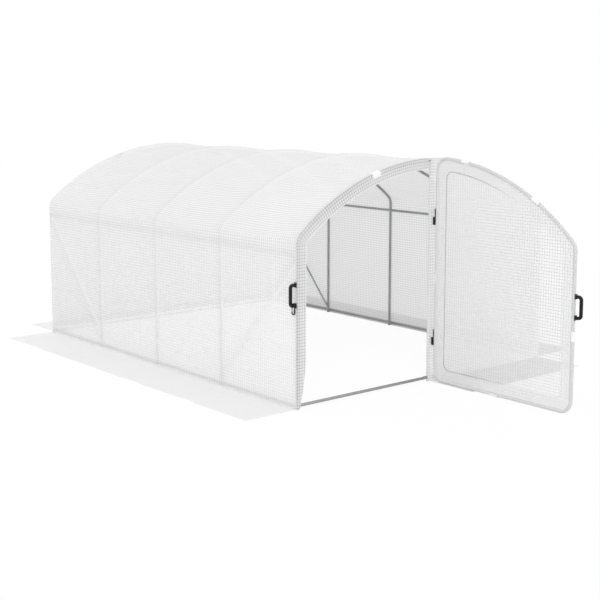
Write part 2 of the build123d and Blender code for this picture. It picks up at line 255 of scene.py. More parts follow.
# 1 where the eye looks through the film, whose haze washes out what lies behind it; materials paint that
# wash-out as pale colour, glow or shade
def throughFilm(tree):
    return calc(tree, "GREATER_THAN", addNode(tree, "LightPath").outputs["Transparent Depth"], 0.5)


# See-through film with a square thread net; look gives its colours and how much each part hides
def filmMaterial(name, look):
    material, tree, shader, place = startMaterial(name)
    net = useGroup(tree, netGroup, Vector=place, Pitch=look["pitch"], Thread=look["thread"])
    mottle = useGroup(tree, mottleGroup, Vector=place, Cloud_Scale=1.2, Grit_Scale=90.0)
    colour = blendColour(tree, net["Threads"], look["film"], look["net"])
    clouded = blendColour(tree, calc(tree, "MULTIPLY", mottle["Cloud"], look["cloud"]), colour, look["dust"])
    behind = calc(tree, "MULTIPLY", throughFilm(tree), look["behind"])
    shaded = blendColour(tree, behind, clouded, look["shade"])
    inside = calc(tree, "MULTIPLY", addNode(tree, "NewGeometry").outputs["Backfacing"], look["inside"])
    tree.links.new(blendColour(tree, inside, shaded, look["insideTone"]), shader.inputs["Base Color"])
    hides = ramp(tree, net["Threads"], 0.0, 1.0, look["filmHides"], look["netHides"], smooth=False)
    crossed = calc(tree, "MULTIPLY_ADD", net["Crossings"], 0.05)
    crossed.node.inputs[2].default_value = 0.0
    tree.links.new(calc(tree, "ADD", hides, crossed, clamp=True), shader.inputs["Alpha"])
    rough = ramp(tree, mottle["Grit"], 0.0, 1.0, look["rough"], look["rough"] + 0.12)
    tree.links.new(rough, shader.inputs["Roughness"])
    bump(tree, shader, net["Height"], 0.35, 0.0006)
    through = addNode(tree, "BsdfTranslucent")
    through.inputs["Color"].default_value = look["glow"]
    both = addNode(tree, "MixShader")
    both.inputs[0].default_value = look["through"]
    tree.links.new(shader.outputs[0], both.inputs[1])
    tree.links.new(through.outputs[0], both.inputs[2])
    tree.links.new(both.outputs[0], tree.nodes["Material Output"].inputs["Surface"])
    return material


filmLook = {
    "pitch": 0.025,
    "thread": 0.0062,
    "film": (0.97, 0.97, 0.971, 1.0),
    "net": (0.86, 0.86, 0.862, 1.0),
    "dust": (0.93, 0.93, 0.927, 1.0),
    "glow": (0.97, 0.97, 0.971, 1.0),
    "cloud": 0.18,
    "filmHides": 0.50,
    "netHides": 0.92,
    "through": 0.28,
    "rough": 0.42,
    "behind": 0.0,  # how far the shade takes over where another sheet lies in front
    "shade": (0.34, 0.34, 0.344, 1.0),
    "inside": 0.0,  # how far its inner face takes the tone of shade under cover
    "insideTone": (0.55, 0.55, 0.555, 1.0),
}
filmSheet = filmMaterial("reinforcedFilm", {**filmLook, "inside": 0.36})
leafFilm = filmMaterial("leafFilm", {**filmLook, "filmHides": 0.46, "through": 0.18,
                                      "net": (0.64, 0.64, 0.642, 1.0)})
stripFilm = filmMaterial("doubledFilm", {**filmLook, "filmHides": 0.84, "net": (0.36, 0.36, 0.362, 1.0),
                                         "film": (0.86, 0.86, 0.862, 1.0), "through": 0.25})
hemFilm = filmMaterial("hemFilm", {**filmLook, "filmHides": 0.55, "netHides": 0.75, "through": 0.42,
                                   "net": (0.84, 0.84, 0.842, 1.0)})
skirtFilm = filmMaterial("skirtFilm", {**filmLook, "filmHides": 0.68, "netHides": 0.80, "behind": 1.0,
                                       "film": (0.955, 0.955, 0.956, 1.0), "net": (0.90, 0.90, 0.902, 1.0)})


def tubeMaterial(name, look):
    material, tree, shader, place = startMaterial(name)
    zinc = useGroup(tree, zincGroup, Vector=place, Spangle_Scale=look["spangle"])
    mottle = useGroup(tree, mottleGroup, Vector=place, Cloud_Scale=6.0, Grit_Scale=260.0)
    tone = blendColour(tree, zinc["Tone"], look["dark"], look["light"])
    stained = blendColour(tree, calc(tree, "MULTIPLY", mottle["Cloud"], 0.35), tone, look["stain"])
    through = throughFilm(tree)
    # Painted light: seen through the film the tube takes a pale tone for the light the film's haze scatters
    tree.links.new(blendColour(tree, through, stained, look["paintedHazeTone"]), shader.inputs["Base Color"])
    rough = ramp(tree, zinc["Streaks"], 0.3, 0.7, look["rough"], look["rough"] + 0.16)
    tree.links.new(rough, shader.inputs["Roughness"])
    tree.links.new(ramp(tree, through, 0.0, 1.0, look["metal"], 0.0, smooth=False), shader.inputs["Metallic"])
    # Painted glow: seen through the film the tube emits light, standing in for the film's haze
    paintedHazeGlow = blendColour(tree, through, (0.0, 0.0, 0.0, 1.0), look["paintedHazeGlow"])
    tree.links.new(paintedHazeGlow, shader.inputs["Emission Color"])
    shader.inputs["Emission Strength"].default_value = 1.0
    bump(tree, shader, zinc["Height"], 0.25, 0.0002)
    return material


frameSteel = tubeMaterial("frameSteel", {
    "spangle": 180.0,
    "dark": (0.32, 0.325, 0.333, 1.0),
    "light": (0.44, 0.445, 0.455, 1.0),
    "stain": (0.29, 0.29, 0.29, 1.0),
    "paintedHazeTone": (0.86, 0.86, 0.862, 1.0),
    "paintedHazeGlow": (0.28, 0.28, 0.28, 1.0),
    "rough": 0.34,
    "metal": 0.8,
})
fittingSteel = tubeMaterial("fittingSteel", {
    "spangle": 420.0,
    "dark": (0.34, 0.345, 0.355, 1.0),
    "light": (0.5, 0.505, 0.515, 1.0),
    "stain": (0.22, 0.21, 0.2, 1.0),
    "paintedHazeTone": (0.78, 0.78, 0.782, 1.0),
    "paintedHazeGlow": (0.14, 0.14, 0.14, 1.0),
    "rough": 0.26,
    "metal": 1.0,
})


def blackMaterial(name, look):
    material, tree, shader, place = startMaterial(name, "Object")
    wear = useGroup(tree, wearGroup, Vector=place, Spread=look["wearSpread"])
    mottle = useGroup(tree, mottleGroup, Vector=place, Cloud_Scale=25.0, Grit_Scale=look["grit"])
    colour = blendColour(tree, mottle["Cloud"], look["dark"], look["light"])
    tree.links.new(blendColour(tree, wear["Wear"], colour, look["worn"]), shader.inputs["Base Color"])
    rough = ramp(tree, mottle["Grit"], 0.0, 1.0, look["rough"], look["rough"] + 0.15)
    tree.links.new(rough, shader.inputs["Roughness"])
    shader.inputs["Metallic"].default_value = look["metal"]
    shader.inputs["Specular IOR Level"].default_value = look["shine"]
    shader.inputs["Coat Weight"].default_value = look["coat"]
    shader.inputs["Coat Roughness"].default_value = 0.3
    bump(tree, shader, mottle["Height"], look["bump"], 0.0003)
    return material


handlePlastic = blackMaterial("handlePlastic", {
    "dark": (0.006, 0.006, 0.0065, 1.0),
    "light": (0.014, 0.014, 0.015, 1.0),
    "worn": (0.045, 0.045, 0.048, 1.0),
    "wearSpread": 0.08,
    "grit": 900.0,
    "rough": 0.5,
    "metal": 0.0,
    "shine": 0.2,
    "coat": 0.0,
    "bump": 0.5,
})
blackMetal = blackMaterial("blackMetal", {
    "dark": (0.012, 0.012, 0.013, 1.0),
    "light": (0.026, 0.026, 0.028, 1.0),
    "worn": (0.16, 0.16, 0.165, 1.0),
    "wearSpread": 0.05,
    "grit": 500.0,
    "rough": 0.4,
    "metal": 0.4,
    "shine": 0.3,
    "coat": 0.04,
    "bump": 0.25,
})


def tapeMaterial(name, look):
    material, tree, shader, place = startMaterial(name)
    net = useGroup(tree, netGroup, Vector=place, Pitch=0.0022, Thread=0.0014, Softness=0.0004, Waver=0.0004)
    mottle = useGroup(tree, mottleGroup, Vector=place, Cloud_Scale=14.0, Grit_Scale=300.0)
    colour = blendColour(tree, net["Threads"], look["gap"], look["yarn"])
    tree.links.new(blendColour(tree, calc(tree, "MULTIPLY", mottle["Cloud"], 0.2), colour, look["gap"]),
                   shader.inputs["Base Color"])
    tree.links.new(ramp(tree, mottle["Grit"], 0.0, 1.0, 0.6, 0.8), shader.inputs["Roughness"])
    bump(tree, shader, net["Height"], 0.6, 0.0005)
    return material


whiteTape = tapeMaterial("whiteTape", {"yarn": (0.95, 0.95, 0.95, 1.0), "gap": (0.84, 0.84, 0.84, 1.0)})
# Dark piping colour: painted shade along the fold at the hem's inner edge
pipingFoldShade = tapeMaterial("pipingFoldShade", {"yarn": (0.30, 0.30, 0.31, 1.0), "gap": (0.16, 0.16, 0.17, 1.0)})


# The piping's grey is painted shade of the hem's fold: darkest near the hinges, staying pale at the free side
def fadePiping(material, look):
    tree = material.node_tree
    shader = tree.nodes["Principled BSDF"]
    parts = addNode(tree, "SeparateXYZ")
    tree.links.new(addNode(tree, "TexCoord").outputs["Object"], parts.inputs[0])
    share = ramp(tree, parts.outputs[1], look["from"], look["to"])
    dark = shader.inputs["Base Color"].links[0].from_socket
    tree.links.new(blendColour(tree, share, dark, look["pale"]), shader.inputs["Base Color"])


fadePiping(pipingFoldShade, {"from": -0.45, "to": -1.0, "pale": (0.88, 0.88, 0.88, 1.0)})
print("materials ready")


# Meshes

def makePiece(name, points, faces, cornerUvs, material, body="tunnel"):
    mesh = bpy.data.meshes.new(name)
    mesh.from_pydata([tuple(p) for p in points], [], faces)
    layer = mesh.uv_layers.new(name="UVMap")
    layer.data.foreach_set("uv", np.array(cornerUvs, float).ravel())
    mesh.polygons.foreach_set("use_smooth", [True] * len(faces))
    mesh.materials.append(material)
    mesh.update()
    piece = bpy.data.objects.new(name, mesh)
    bpy.context.scene.collection.objects.link(piece)
    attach(piece, body)
    return piece


# A sheet from a grid of points, with its flat coordinates in metres as the UV map
def makeSheet(name, grid, flat, material, body="tunnel"):
    rows, columns = len(grid), len(grid[0])
    points = [p for row in grid for p in row]
    places = [p for row in flat for p in row]
    faces = []
    for i in range(rows - 1):
        for j in range(columns - 1):
            low = i * columns + j
            faces.append((low, low + columns, low + columns + 1, low + 1))
    uvs = [places[corner] for face in faces for corner in face]
    return makePiece(name, points, faces, uvs, material, body)


# Numbers of the points in the given rows or columns of a sheet, whose points run up each column
def gridPoints(columnCount, rowCount, rows, columns):
    return [i for i in range(columnCount * rowCount) if i % rowCount in rows or i // rowCount in columns]


# Carries a cross section along a line in a plane. across is the plane's normal and the section's
# first axis; its second axis points to the left of the way along.
def sweep(name, path, rings, across, material, body="tunnel", closed=False):
    path = [Vector(p) for p in path]
    across = Vector(across).normalized()
    count = len(path)
    sections = [rings(i) for i in range(count)] if callable(rings) else [rings] * count
    size = len(sections[0])
    points = []
    travelled = [0.0]
    for i, place in enumerate(path):
        before = path[i - 1] if i or closed else place
        after = path[(i + 1) % count] if i < count - 1 or closed else place
        along = (after - before).normalized()
        left = across.cross(along)
        inward = (place - before).normalized() if i or closed else along
        onward = (after - place).normalized() if after != place else inward
        stretch = 1 / max(0.3, math.sqrt((1 + inward.dot(onward)) / 2))
        for a, b in sections[i]:
            points.append(place + across * a + left * b * stretch)
        if i:
            travelled.append(travelled[-1] + (place - path[i - 1]).length)
    if closed:
        travelled.append(travelled[-1] + (path[0] - path[-1]).length)
    around = [0.0]
    for j in range(size):
        a, b = sections[count // 2][j], sections[count // 2][(j + 1) % size]
        around.append(around[-1] + math.hypot(a[0] - b[0], a[1] - b[1]))
    faces = []
    uvs = []
    for i in range(count if closed else count - 1):
        for j in range(size):
            this, other = i * size, (i + 1) % count * size
            step = (j + 1) % size
            faces.append((this + j, this + step, other + step, other + j))
            for u, v in ((i, j), (i, j + 1), (i + 1, j + 1), (i + 1, j)):
                uvs.append((travelled[u], around[v]))
    if not closed:
        for start, order in ((0, range(size - 1, -1, -1)), ((count - 1) * size, range(size))):
            faces.append(tuple(start + j for j in order))
            uvs += [sections[0][j] for j in order]
    return makePiece(name, points, faces, uvs, material, body)


def circle(radius, sides=20):
    turns = [2 * math.pi * j / sides for j in range(sides)]
    return [(radius * math.cos(t), radius * math.sin(t)) for t in turns]


# Adds points along a straight run so that a detail can be put at its distance
def divide(path, places):
    path = [Vector(p) for p in path]
    out = [path[0]]
    travelled = 0.0
    for a, b in zip(path, path[1:]):
        length = (b - a).length
        for place in sorted(places):
            if travelled + 1e-6 < place < travelled + length - 1e-6:
                out.append(a.lerp(b, (place - travelled) / length))
        out.append(b)
        travelled += length
    return out


def distances(path):
    out = [0.0]
    for a, b in zip(path, path[1:]):
        out.append(out[-1] + (b - a).length)
    return out


# A round tube with softened ends and a fine groove at each joint
groove = {"edge": 0.0012, "half": 0.0016, "inner": 0.0006, "endScale": 0.93, "jointScale": 0.95}


def tube(name, path, radius, across, body="tunnel", closed=False, joints=()):
    length = distances([Vector(p) for p in path])[-1]
    marks = [] if closed else [groove["edge"], length - groove["edge"]]
    for joint in joints:
        for shift in (groove["half"], groove["inner"]):
            marks += [joint - shift, joint + shift]
    path = divide(path, marks)
    places = distances(path)

    def ring(i):
        here = places[i]
        scale = 1.0
        if not closed and (here < 1e-7 or here > length - 1e-7):
            scale = groove["endScale"]
        if any(abs(here - joint) < 0.001 for joint in joints):
            scale = groove["jointScale"]
        return circle(radius * scale)

    return sweep(name, path, ring, across, frameSteel, body, closed)


def sharpen(piece, angle=35.0):
    piece.data.set_sharp_from_angle(angle=math.radians(angle))


# Joins pieces of one body into one
def merge(name, pieces):
    first = pieces[0]
    mesh = bmesh.new()
    mesh.loops.layers.uv.new("UVMap")
    for piece in pieces:
        mesh.from_mesh(piece.data)
    made = bpy.data.meshes.new(name)
    mesh.to_mesh(made)
    mesh.free()
    made.materials.append(first.data.materials[0])
    for piece in pieces[1:]:
        bpy.data.objects.remove(piece)
    first.data = made
    first.name = name
    return first


# A piece from an edited mesh
def takePiece(name, mesh, material, body):
    made = bpy.data.meshes.new(name)
    mesh.to_mesh(made)
    mesh.free()
    made.materials.append(material)
    made.polygons.foreach_set("use_smooth", [True] * len(made.polygons))
    piece = bpy.data.objects.new(name, made)
    bpy.context.scene.collection.objects.link(piece)
    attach(piece, body)
    return piece


# The hoop's line, as (x, z, outward x, outward z, distance along the fabric)
def archLine(step, outset):
    roofHalf = math.pi / 2 - bendTurn
    legSteps = max(2, round(bendZ / step))
    bendSteps = 6
    roofSteps = 2 * round(roofHalf * roofRadius / step)
    out = []
    girth = 0.0
    for i in range(legSteps):
        out.append((-tunnel["halfWidth"], bendZ * i / legSteps, -1.0, 0.0, girth + bendZ * i / legSteps))
    girth += bendZ
    for centreX, centreZ, radius, first, turn, count in (
        (-bendX, bendZ, tunnel["bendRadius"], math.pi, -bendTurn, bendSteps),
        (0.0, roofCentre, roofRadius, math.pi - bendTurn, -2 * roofHalf, roofSteps),
        (bendX, bendZ, tunnel["bendRadius"], bendTurn, -bendTurn, bendSteps),
    ):
        for i in range(count):
            angle = first + turn * i / count
            c, s = math.cos(angle), math.sin(angle)
            place = girth + (radius + outset) * abs(turn) * i / count
            out.append((centreX + radius * c, centreZ + radius * s, c, s, place))
        girth += (radius + outset) * abs(turn)
    for i in range(legSteps + 1):
        out.append((tunnel["halfWidth"], bendZ * (1 - i / legSteps), 1.0, 0.0, girth + bendZ * i / legSteps))
    return out


# Height of the arch over a place across the tunnel
def archTop(x):
    x = abs(x)
    if x <= roofRadius * math.cos(bendTurn):
        return roofCentre + math.sqrt(roofRadius**2 - x**2)
    return bendZ + math.sqrt(max(0.0, tunnel["bendRadius"] ** 2 - (x - bendX) ** 2))


# The fabric's mesh spacing, how far from a tube it is held and how loosely it hangs between
cover = {
    "step": 0.04,
    "turnSteps": 5,
    "hoopGrip": 0.0139,
    "purlinGrip": 0.021,
    "footGrip": 0.065,
    "loose": 0.0004,
    "endLoose": 0.0006,
    "endRows": 44,
    "rearColumns": 72,
    "frontColumns": 40,
    "wrapSteps": 10,
    "wrapFrom": math.radians(100),
    "wrapTo": math.radians(270),
}
clothJobs = []  # piece, numbers of its held points, looseness

# Roof and walls: one length of fabric over all hoops, turned in round the end hoops
line = archLine(cover["step"], offset)
turns = [math.pi / 2 * i / cover["turnSteps"] for i in range(cover["turnSteps"] + 1)]
ways = []  # along the tunnel, share of the offset outwards, flat distance
for angle in reversed(turns[1:]):
    ways.append((-offset * math.sin(angle), math.cos(angle), -offset * angle))
bayRows = round(bayLength / cover["step"])
for i in range(tunnel["bays"] * bayRows + 1):
    y = bayLength * i / bayRows
    ways.append((y, 1.0, y))
for angle in turns[1:]:
    y = tunnel["length"] + offset * math.sin(angle)
    ways.append((y, math.cos(angle), tunnel["length"] + offset * angle))
mainGrid = []
for x, z, nx, nz, _ in line:
    mainGrid.append([(x + nx * offset * out, y, z + nz * offset * out) for y, out, _ in ways])
mainFlat = [[(girth, flat) for _, _, flat in ways] for *_, girth in line]
mainCover = makeSheet("cover_arch", mainGrid, mainFlat, filmSheet)
held = []
for i, (x, z, *_) in enumerate(line):
    for j, (y, *_) in enumerate(ways):
        onHoop = min(abs(y - hoop) for hoop in hoopPlaces) < cover["hoopGrip"]
        onPurlin = abs(z - purlinHeight) < cover["purlinGrip"] and abs(x) > tunnel["halfWidth"] - 0.001
        if onHoop or onPurlin or z < cover["footGrip"]:
            held.append(i * len(ways) + j)
clothJobs.append((mainCover, held, cover["loose"]))
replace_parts(mainCover, "cover_wall_left", "cover_wall_right", "cover_roof_left", "cover_roof_right")
print("arch cover laid out")


# An end sheet as columns (x, y, flat distance) from the ground to the arch, held round its edge
def endSheet(name, columns, heldColumns):
    rows = cover["endRows"]
    grid = []
    flat = []
    for x, y, u in columns:
        heights = [archTop(x) * k / rows for k in range(rows + 1)]
        grid.append([(x, y, z) for z in heights])
        flat.append([(u, z) for z in heights])
    piece = makeSheet(name, grid, flat, filmSheet)
    held = gridPoints(len(columns), rows + 1, (0, 1, rows), (*heldColumns, len(columns) - 1))
    clothJobs.append((piece, held, cover["endLoose"]))
    return piece


# Cosine-spaced so that the steep ends of the arch get closer columns
def edgePlaces(low, high, count):
    return [low + (high - low) * (1 - math.cos(math.pi * i / count)) / 2 for i in range(count + 1)]


rearPlaces = edgePlaces(-tunnel["halfWidth"], tunnel["halfWidth"], cover["rearColumns"])
rearSheet = endSheet("cover_end_rear", [(x, tunnel["length"] + offset, x) for x in rearPlaces], (0,))
rearSheet.data.flip_normals()
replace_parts(rearSheet, "cover_rear")

# Fixed front half: from behind the centre post, round its left side and across to the right leg
frontColumns = []
for i in range(cover["wrapSteps"] + 1):
    angle = cover["wrapFrom"] + (cover["wrapTo"] - cover["wrapFrom"]) * i / cover["wrapSteps"]
    u = offset * (angle - cover["wrapTo"])
    frontColumns.append((offset * math.cos(angle), offset * math.sin(angle), u))
frontPlaces = edgePlaces(0.0, tunnel["halfWidth"], cover["frontColumns"])[1:]
frontColumns += [(x, -offset, x) for x in frontPlaces]
frontSheet = endSheet("cover_end_front", frontColumns, range(cover["wrapSteps"] + 1))
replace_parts(frontSheet, "cover_front_right")

# Doubled strip round the doorway, from the ridge down the front left leg, tapering out at its foot
strip = {"width": 0.092, "taperHeight": 0.47, "across": 9, "turns": 4, "turnFrom": math.radians(80),
         "lift": 0.0006, "hemRadius": 0.0016}
leftLine = [p for p in line if p[0] <= -tubeRadius + 1e-6]


def stripDepth(z, x):
    if abs(x) < tunnel["halfWidth"] - 0.001 or z > strip["taperHeight"]:
        return strip["width"] - tubeRadius
    depth = strip["width"] - 2 * tubeRadius
    radius = (strip["taperHeight"] ** 2 + depth**2) / (2 * depth)
    drop = strip["taperHeight"] - z
    return tubeRadius + depth - (radius - math.sqrt(radius**2 - drop**2))


stripGrid = []
stripFlat = []
around = offset + strip["lift"]
for x, z, nx, nz, girth in leftLine:
    depth = stripDepth(z, x)
    row = []
    flat = []
    for k in range(strip["turns"]):
        angle = strip["turnFrom"] * (1 - k / strip["turns"])
        out = around * math.sin(angle)
        row.append((x + nx * out, -around * math.cos(angle), z + nz * out))
        flat.append((girth, around * (angle - math.pi / 2)))
    for k in range(strip["across"] + 1):
        inward = depth * k / strip["across"]
        row.append((x - nx * inward, -around, z - nz * inward))
        flat.append((girth, -around * math.pi / 2 - inward))
    stripGrid.append(row)
    stripFlat.append(flat)
doorStrip = makeSheet("doorway_strip_cloth", stripGrid, stripFlat, stripFilm)
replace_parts(doorStrip, "doorway_strip")
hemEdge = [Vector(row[-1]) for row in stripGrid]
stripHem = sweep("doorway_strip_hem", hemEdge, circle(strip["hemRadius"], 8), (0, -1, 0), whiteTape)

# Ground skirts, laid flat outside the walls
skirt = {"width": 0.5, "step": 0.025, "lift": 0.0012, "wave": 0.005, "waves": 9, "fade": 0.12}
skirtSides = (  # side, node, axis that points away from the wall, its sign
    ("left", "skirt_left", 0, -1),
    ("right", "skirt_right", 0, 1),
    ("rear", "skirt_rear", 1, 1),
    ("front", "skirt_front_right", 1, -1),
)


# Low ripples that die out toward the wall
def layRipples(along, across):
    value = np.zeros(along.shape)
    for _ in range(skirt["waves"]):
        length = noise.uniform(0.18, 0.9)
        turn = noise.uniform(-0.5, 0.5)
        phase = noise.uniform(0, 2 * math.pi)
        way = along * math.cos(turn) + across * math.sin(turn)
        value += np.sin(2 * math.pi * way / length + phase) * noise.uniform(0.3, 1.0)
    return skirt["wave"] * np.maximum(0.0, value / 3) * np.minimum(1.0, across / skirt["fade"])


def evenPlaces(length, step):
    count = round(length / step)
    return [length * i / count for i in range(count + 1)]


# A place beside the wall: along is measured from the box's low corner, away from the wall's edge
def besideWall(box, axis, sign, along, away, height):
    low, high = box
    place = [low.x, low.y, height]
    place[1 - axis] += along
    place[axis] = (low if sign > 0 else high)[axis] + sign * away
    return place


for side, node, axis, sign in skirtSides:
    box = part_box(node)
    length = box[1][1 - axis] - box[0][1 - axis]
    rows = evenPlaces(length, skirt["step"])
    columns = evenPlaces(skirt["width"], skirt["step"])
    lift = skirt["lift"] + layRipples(*np.meshgrid(rows, columns, indexing="ij"))
    grid = []
    for a, heights in zip(rows, lift):
        grid.append([besideWall(box, axis, sign, a, b, z) for b, z in zip(columns, heights)])
    piece = makeSheet("ground_skirt_" + side, grid, [[(a, b) for b in columns] for a in rows], skirtFilm)
    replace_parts(piece, node)

# Welded seam where each skirt meets the foot of the cover
seam = {"radius": 0.0035, "height": 0.004, "out": 0.001, "steps": 40}
for side, node, axis, sign in skirtSides:
    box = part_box(node)
    length = box[1][1 - axis] - box[0][1 - axis]
    places = evenPlaces(length, length / seam["steps"])
    run = [besideWall(box, axis, sign, a, seam["out"], seam["height"]) for a in places]
    sweep("ground_seam_" + side, run, circle(seam["radius"], 10), (0, 0, 1), whiteTape)
print("end sheets, strip and skirts laid out")

# Door leaf, as (distance from its hinge side, height)
coverLow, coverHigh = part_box("door_cover")
leaf = {
    "width": coverHigh.y - coverLow.y,
    "height": coverHigh.z - coverLow.z,
    "low": coverLow.z,
    "drop": 0.62,
    "corner": 0.115,
    "tubeInset": (coverHigh.x - coverLow.x) / 2,
    "sheetInset": (coverHigh.x - coverLow.x) - 0.001,
    "hemInset": 0.118,
    "hemCorner": 0.06,
    "x": (coverHigh.x + coverLow.x) / 2,
    "hingeEdge": coverHigh.y,
    "hemBehind": -0.0018,
    "hemSteps": 4,
    "pipingBehind": -0.0024,
    "pipingRadius": 0.0017,
    "rows": 50,
    "columns": 44,
    "loose": 0.0005,
}
leafRadius = (leaf["width"] ** 2 + leaf["drop"] ** 2) / (2 * leaf["drop"])
leafCentre = leaf["low"] + leaf["height"] - leafRadius


def leafPoint(p, z, across=0.0):
    return (leaf["x"] + across, leaf["hingeEdge"] - p, z)


# Centres of the two upper corners of an outline moved inwards, and the turns where they meet its arc
def leafCorners(inset, corner):
    reach = leafRadius - inset - corner
    centres = []
    for p in (inset + corner, leaf["width"] - inset - corner):
        centres.append((p, leafCentre + math.sqrt(reach**2 - p**2)))
    return centres, [math.atan2(z - leafCentre, p) for p, z in centres]


# The outline moved inwards, as one closed run of points with the same count for any inset
def leafLoop(inset, corner, sideSteps=40, cornerSteps=10, topSteps=44):
    near, far, low = inset, leaf["width"] - inset, leaf["low"] + inset
    (nearTop, farTop), (nearTurn, farTurn) = leafCorners(inset, corner)
    out = []

    def straight(a, b, count):
        for i in range(count):
            out.append((a[0] + (b[0] - a[0]) * i / count, a[1] + (b[1] - a[1]) * i / count))

    def curve(centre, size, first, last, count):
        for i in range(count):
            angle = first + (last - first) * i / count
            out.append((centre[0] + size * math.cos(angle), centre[1] + size * math.sin(angle)))

    straight((near, low + corner), (near, nearTop[1]), sideSteps)
    curve(nearTop, corner, math.pi, nearTurn, cornerSteps)
    curve((0.0, leafCentre), leafRadius - inset, nearTurn, farTurn, topSteps)
    curve(farTop, corner, farTurn, 0.0, cornerSteps)
    straight((far, farTop[1]), (far, low + corner), sideSteps)
    curve((far - corner, low + corner), corner, 0.0, -math.pi / 2, cornerSteps)
    straight((far - corner, low), (near + corner, low), sideSteps)
    curve((near + corner, low + corner), corner, -math.pi / 2, -math.pi, cornerSteps)
    return out


# Lowest and highest place of the outline at a distance from the hinge side
def leafSpan(p, inset, corner):
    radius = leafRadius - inset
    (nearTop, farTop), (nearTurn, farTurn) = leafCorners(inset, corner)
    top = leafCentre + math.sqrt(radius**2 - p**2)
    if p < radius * math.cos(nearTurn):
        top = nearTop[1] + math.sqrt(max(0.0, corner**2 - (p - nearTop[0]) ** 2))
    elif p > radius * math.cos(farTurn):
        top = farTop[1] + math.sqrt(max(0.0, corner**2 - (p - farTop[0]) ** 2))
    reach = max(0.0, nearTop[0] - p, p - farTop[0])
    return leaf["low"] + inset + corner - math.sqrt(max(0.0, corner**2 - reach**2)), top


sheetCorner = leaf["corner"] - leaf["sheetInset"]
leafGrid = []
leafFlat = []
for p in edgePlaces(leaf["sheetInset"], leaf["width"] - leaf["sheetInset"], leaf["columns"]):
    bottom, top = leafSpan(p, leaf["sheetInset"], sheetCorner)
    heights = [bottom + (top - bottom) * k / leaf["rows"] for k in range(leaf["rows"] + 1)]
    leafGrid.append([leafPoint(p, z) for z in heights])
    leafFlat.append([(p, z) for z in heights])
leafSheet = makeSheet("door_sheet", leafGrid, leafFlat, leafFilm, "door_leaf")
borders = gridPoints(len(leafGrid), leaf["rows"] + 1, (0, leaf["rows"]), (0, len(leafGrid) - 1))
clothJobs.append((leafSheet, borders, leaf["loose"]))
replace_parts(leafSheet, "door_cover")

loopPath = [leafPoint(p, z) for p, z in leafLoop(leaf["tubeInset"], leaf["corner"] - leaf["tubeInset"])]
sleeve = sweep("door_sleeve", loopPath, circle(offset), (-1, 0, 0), hemFilm, "door_leaf", closed=True)
hemOuter = leafLoop(leaf["sheetInset"], sheetCorner)
hemInner = leafLoop(leaf["hemInset"], leaf["hemCorner"])
hemGrid = []
hemFlat = []
shares = [k / leaf["hemSteps"] for k in range(leaf["hemSteps"] + 1)]
for (p, z), (q, w) in zip(hemOuter + hemOuter[:1], hemInner + hemInner[:1]):
    row = [(p + (q - p) * share, z + (w - z) * share) for share in shares]
    hemGrid.append([leafPoint(a, b, leaf["hemBehind"]) for a, b in row])
    hemFlat.append(row)
hemBand = makeSheet("door_hem", hemGrid, hemFlat, hemFilm, "door_leaf")
# A bead round the hem's inner edge; its dark colour is painted fold shade
pipingPath = [leafPoint(p, z, leaf["pipingBehind"]) for p, z in hemInner]
pipingRound = circle(leaf["pipingRadius"], 8)
piping = sweep("door_piping", pipingPath, pipingRound, (-1, 0, 0), pipingFoldShade, "door_leaf", closed=True)
print("door leaf laid out")


# The settling of the fabric under its own weight
settle = {
    "frames": 26,
    "jitter": 0.0006,
    "nearRidge": 0.03,
    "cloth": {
        "quality": 6,
        "mass": 0.045,
        "tension_stiffness": 18.0,
        "compression_stiffness": 18.0,
        "shear_stiffness": 7.2,
        "bending_stiffness": 0.35,
        "tension_damping": 12.0,
        "compression_damping": 12.0,
        "shear_damping": 12.0,
    },
}


def settleCloth(jobs):
    scene = bpy.context.scene
    scene.frame_start = 1
    scene.frame_end = settle["frames"]
    for piece, held, loose in jobs:
        piece.vertex_groups.new(name="held").add(held, 1.0, "REPLACE")
        points = np.empty(len(piece.data.vertices) * 3)
        piece.data.vertices.foreach_get("co", points)
        points = points.reshape(-1, 3)
        free = np.ones(len(points), bool)
        free[held] = False
        points[free] += noise.normal(0.0, settle["jitter"], points[free].shape)
        piece.data.vertices.foreach_set("co", points.ravel())
        cloth = piece.modifiers.new("cloth", "CLOTH")
        for key, value in settle["cloth"].items():
            setattr(cloth.settings, key, value)
        cloth.settings.vertex_group_mass = "held"
        cloth.settings.shrink_min = -loose
        cloth.settings.shrink_max = -loose
        cloth.collision_settings.use_collision = False
        cloth.point_cache.frame_start = 1
        cloth.point_cache.frame_end = settle["frames"]
    for number in range(1, settle["frames"] + 1):
        scene.frame_set(number)
    graph = bpy.context.evaluated_depsgraph_get()
    for piece, *_ in jobs:
        settled = bpy.data.meshes.new_from_object(piece.evaluated_get(graph))
        points = np.empty(len(settled.vertices) * 3)
        settled.vertices.foreach_get("co", points)
        piece.modifiers.clear()
        piece.vertex_groups.clear()
        piece.data.vertices.foreach_set("co", points)
        piece.data.update()
        bpy.data.meshes.remove(settled)
    scene.frame_set(1)


settleCloth(clothJobs)
ridgeLine = [v.co.z for v in mainCover.data.vertices if abs(v.co.x) < settle["nearRidge"]]
print("fabric settled, ridge sags", round(1000 * (max(ridgeLine) - min(ridgeLine))), "mm")


